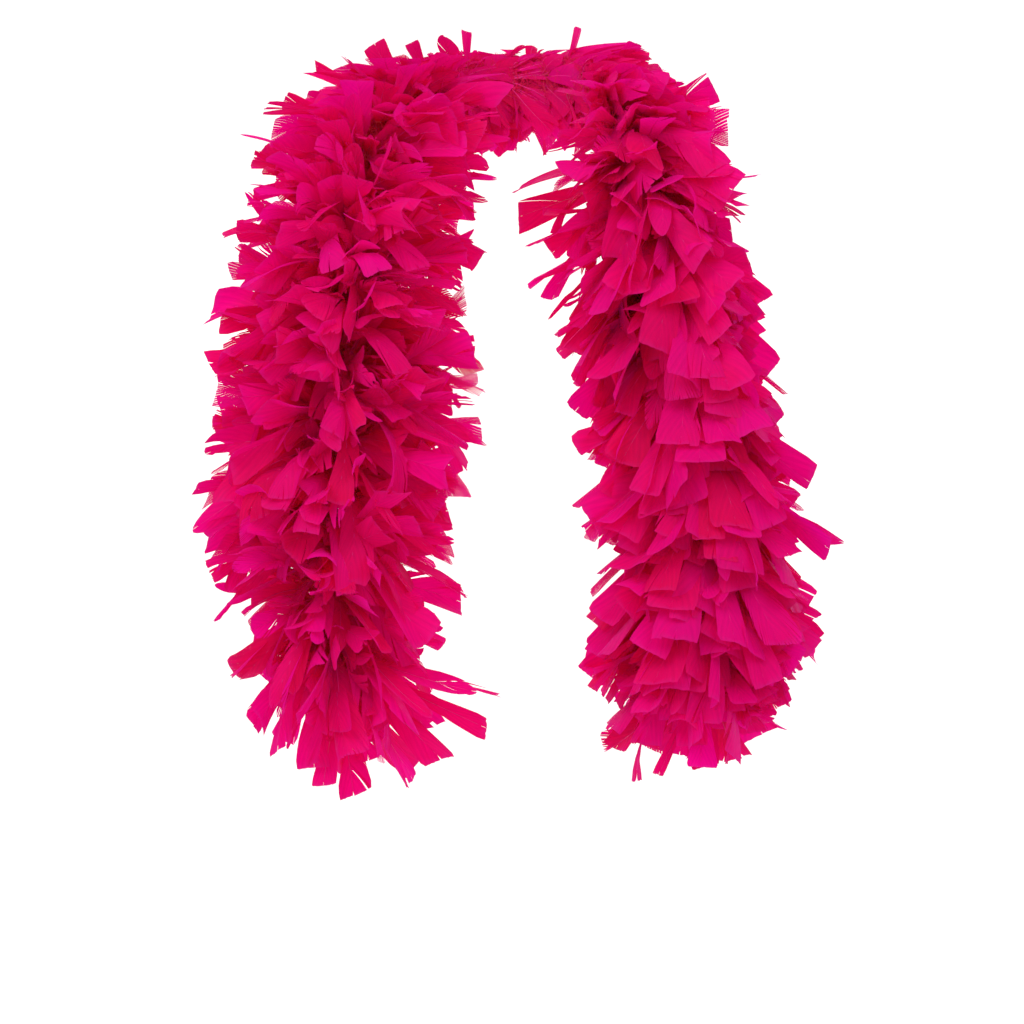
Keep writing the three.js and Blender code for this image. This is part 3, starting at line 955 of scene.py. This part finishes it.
class BOA_OT_ruffs(bpy.types.Operator):
    """Grows the feathers of every ruff from the cord"""

    bl_idname = "boa.ruffs"
    bl_label = "Feather ruffs"

    def execute(self, context):
        sizes, dye = context.scene.boa_feathers, context.scene.boa_dye
        for side, sign in SIDES:
            for part, start, stop, ruffs in sections(side):
                half = (stop - start) / ruffs / 2
                for number in range(ruffs):
                    middle = start + (number * 2 + 1) * half
                    node = f"{side}_{part}_ruff_{number + 1}"
                    piece = build_ruff(f"{node}_feathers", sign * middle, half, sizes, dye)
                    ride_or_bend(piece, side, part, middle)
                    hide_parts(node)
        return {"FINISHED"}


class BOA_OT_end_whippings(bpy.types.Operator):
    """Winds the thread whipping over each end of the cord"""

    bl_idname = "boa.end_whippings"
    bl_label = "End whippings"

    def execute(self, context):
        spun = thread_material(context.scene.boa_dye)
        for side, sign in SIDES:
            start = cord.ends[side] - END_MARGIN
            path = cord.stretch(sign * start, sign * (start + WHIPPING_LENGTH), WHIPPING_STEP)
            points, faces = twisted(path, 1, THREAD_DIAMETER / 2, WOUND_RADIUS, WHIPPING_PITCH)
            piece = mesh_piece(f"{side}_wound_whipping", points, faces, [spun])
            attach(piece, f"{side}_lower")
            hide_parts(f"{side}_end_whipping")
        return {"FINISHED"}


class BOA_OT_end_knots(bpy.types.Operator):
    """Ties an overhand knot in each end of the cord"""

    bl_idname = "boa.end_knots"
    bl_label = "End knots"

    def execute(self, context):
        cotton = cotton_material(context.scene.boa_dye)
        for side, sign in SIDES:
            middle = sign * (cord.ends[side] - END_MARGIN + WHIPPING_LENGTH + KNOT_LENGTH / 2)
            along, outer, inner = cord.axes(middle)
            turn = np.linspace(0, 2 * math.pi, 90, endpoint=False)
            loop = np.stack([
                np.sin(turn) + 2 * np.sin(2 * turn),
                np.cos(turn) - 2 * np.cos(2 * turn),
                -np.sin(3 * turn),
            ], -1)
            path = cord.point(middle) + (loop * KNOT_SCALE) @ np.stack([outer, inner, along])
            points, faces = tube(path, CORD_DIAMETER * KNOT_TIGHTNESS)
            piece = mesh_piece(f"{side}_overhand_knot", points, faces, [cotton])
            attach(piece, f"{side}_lower")
            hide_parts(f"{side}_end_knot")
        return {"FINISHED"}


class BOA_OT_stage(bpy.types.Operator):
    """Sets up the studio paper, the soft lights and the camera"""

    bl_idname = "boa.stage"
    bl_label = "Stage"

    def execute(self, context):
        stage = context.scene.boa_stage
        floor_z = -stage.floor_drop
        turn = np.linspace(0, math.pi / 2, 12)
        sweep, front, back, height, half = 1.2, -7.0, 3.4, 4.2, 7.0
        profile = [(front, floor_z)]
        profile += [(back - sweep + sweep * math.sin(a), floor_z + sweep * (1 - math.cos(a))) for a in turn]
        profile += [(back, floor_z + height)]
        points = [(x, y, z) for x in (-half, half) for y, z in profile]
        count = len(profile)
        faces = [(i, i + count, i + 1 + count, i + 1) for i in range(count - 1)]
        paper = mesh_piece("studio_paper", points, faces, [paper_material(stage.paper)])

        chest, paper_wall = (0.0, -0.15, -0.40), (0.0, back, -0.5)
        for name, place, target, size, power in (
            ("key_softbox", (-1.1, -1.5, 1.1), chest, 1.5, 24.0),
            ("fill_softbox", (1.2, -1.8, 0.8), chest, 1.5, 15.0),
            ("top_softbox", (0.0, -0.6, 1.9), chest, 1.6, 4.0),
            ("left_paper_light", (-2.2, 1.4, 0.4), paper_wall, 1.6, 44.0),
            ("right_paper_light", (2.2, 1.4, 0.4), paper_wall, 1.6, 44.0),
        ):
            light = bpy.data.lights.new(name, "AREA")
            light.energy, light.size = power, size
            lamp = bpy.data.objects.new(name, light)
            lamp.location = place
            aim = np.array(target) - place
            lamp.rotation_euler = Vector(aim).to_track_quat("-Z", "Y").to_euler()
            context.scene.collection.objects.link(lamp)

        world = bpy.data.worlds.new("studio_light")
        world.use_nodes = True
        air = world.node_tree.nodes["Background"]
        air.inputs["Color"].default_value = (1.0, 0.99, 0.98, 1.0)
        air.inputs["Strength"].default_value = 0.46
        context.scene.world = world

        hanging_y = cord.point(HANGING_AT)[1]
        camera = bpy.data.cameras.new("camera")
        camera.sensor_width = SENSOR_WIDTH
        camera.lens = SENSOR_WIDTH * stage.camera_distance / stage.view_width
        rig = bpy.data.objects.new("camera", camera)
        rig.location = (stage.camera_side, hanging_y - stage.camera_distance, stage.camera_height)
        rig.rotation_euler = (math.pi / 2, 0, 0)
        context.scene.collection.objects.link(rig)
        context.scene.camera = rig
        context.scene.view_settings.view_transform = "Standard"
        context.scene.view_settings.gamma = VIEW_GAMMA
        return {"FINISHED"}


class BOA_PT_panel(bpy.types.Panel):
    """Lists the boa's settings and its building steps"""

    bl_label = "Feather boa"
    bl_idname = "BOA_PT_panel"
    bl_space_type = "VIEW_3D"
    bl_region_type = "UI"
    bl_category = "Boa"

    def draw(self, context):
        for group in (context.scene.boa_feathers, context.scene.boa_dye, context.scene.boa_stage):
            box = self.layout.box()
            for name in group.__annotations__:
                box.prop(group, name)
        for step in STEPS:
            self.layout.operator(step.bl_idname)


STEPS = (
    BOA_OT_stage,
    BOA_OT_core_cord,
    BOA_OT_stitching_thread,
    BOA_OT_end_whippings,
    BOA_OT_end_knots,
    BOA_OT_ruffs,
)
GROUPS = {"boa_feathers": BoaFeathers, "boa_dye": BoaDye, "boa_stage": BoaStage}
CLASSES = (*GROUPS.values(), *STEPS, BOA_PT_panel)


def register():
    for item in CLASSES:
        bpy.utils.register_class(item)
    for name, group in GROUPS.items():
        setattr(bpy.types.Scene, name, bpy.props.PointerProperty(type=group))


def unregister():
    for name in GROUPS:
        delattr(bpy.types.Scene, name)
    for item in reversed(CLASSES):
        bpy.utils.unregister_class(item)


def main():
    """Registers the add-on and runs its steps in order."""
    register()
    bpy.ops.boa.stage()
    bpy.ops.boa.core_cord()
    bpy.ops.boa.stitching_thread()
    bpy.ops.boa.end_whippings()
    bpy.ops.boa.end_knots()
    bpy.ops.boa.ruffs()


if __name__ == "__main__":
    main()
